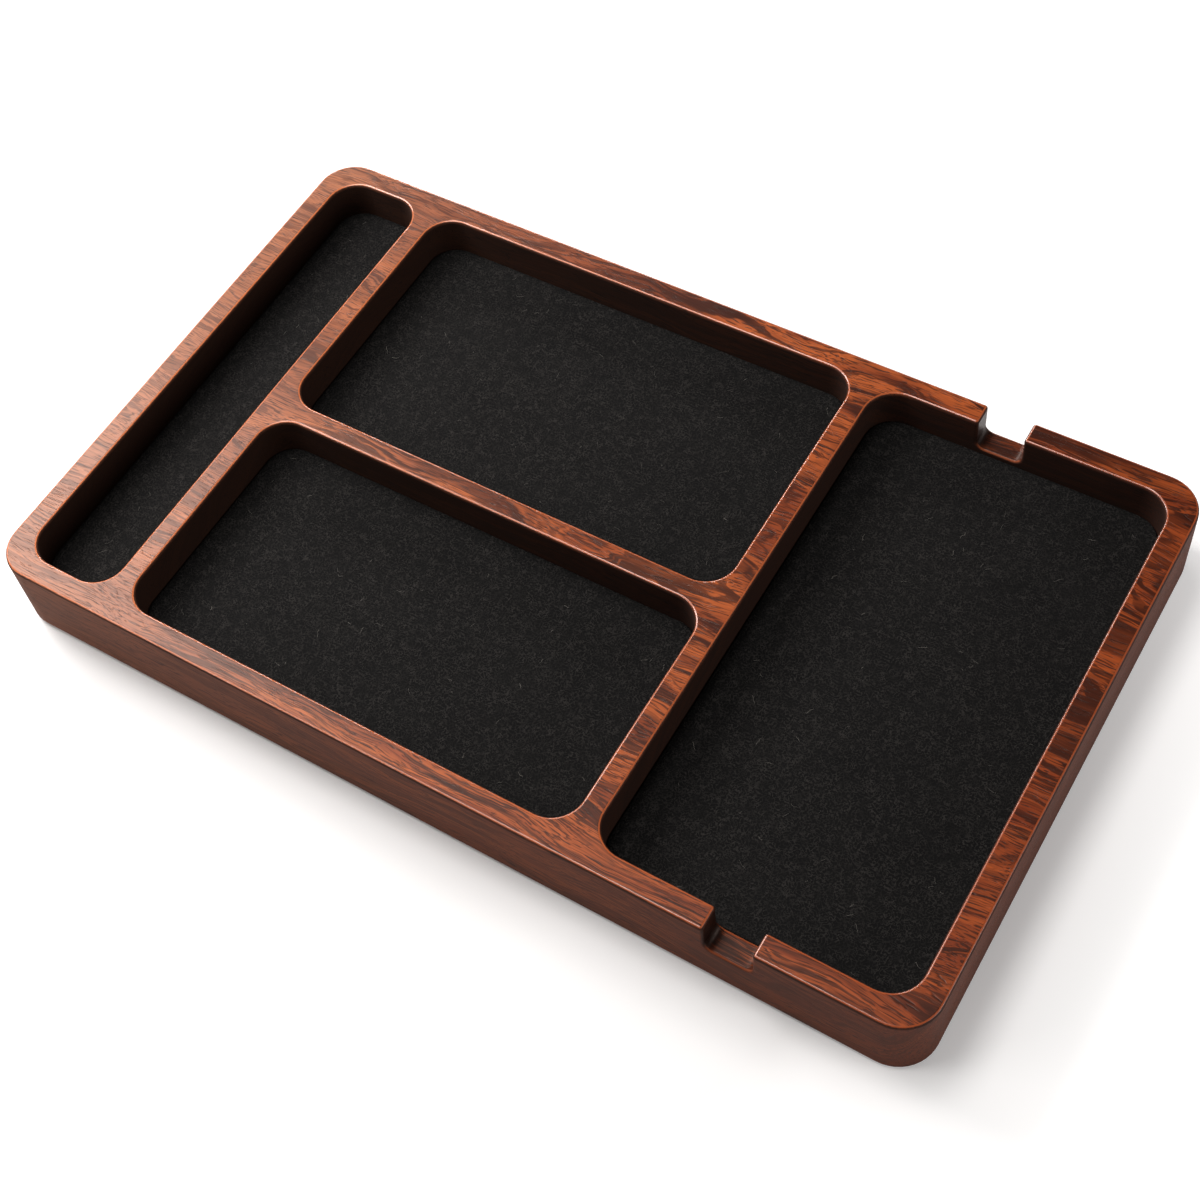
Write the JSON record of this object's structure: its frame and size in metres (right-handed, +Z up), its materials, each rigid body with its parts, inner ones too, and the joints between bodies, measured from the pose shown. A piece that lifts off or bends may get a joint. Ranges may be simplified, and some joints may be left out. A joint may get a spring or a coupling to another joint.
{
  "type": "valet tray",
  "caption": "Low rectangular walnut valet tray with felt-lined compartments of different sizes and cable notches in the front and back rims of the wide bay.",
  "frame": {"origin": "on the table under the middle of the tray, in the plane of the feet's treads", "axes": "+X along the long side and the grain, towards the wide bay; +Y to the back; +Z up, out of the compartments"},
  "size_m": [0.32, 0.195, 0.03],
  "materials": {
    "walnut": "satin oiled",
    "felt": "matt, short nap",
    "silicone": "matt"
  },
  "bodies": {
    "root": {"tray_body": "walnut", "liner_left_slot": "felt", "liner_back_well": "felt", "liner_front_well": "felt", "liner_wide_bay": "felt", "foot_front_left": "silicone", "foot_front_right": "silicone", "foot_back_left": "silicone", "foot_back_right": "silicone"}
  },
  "joints": []
}
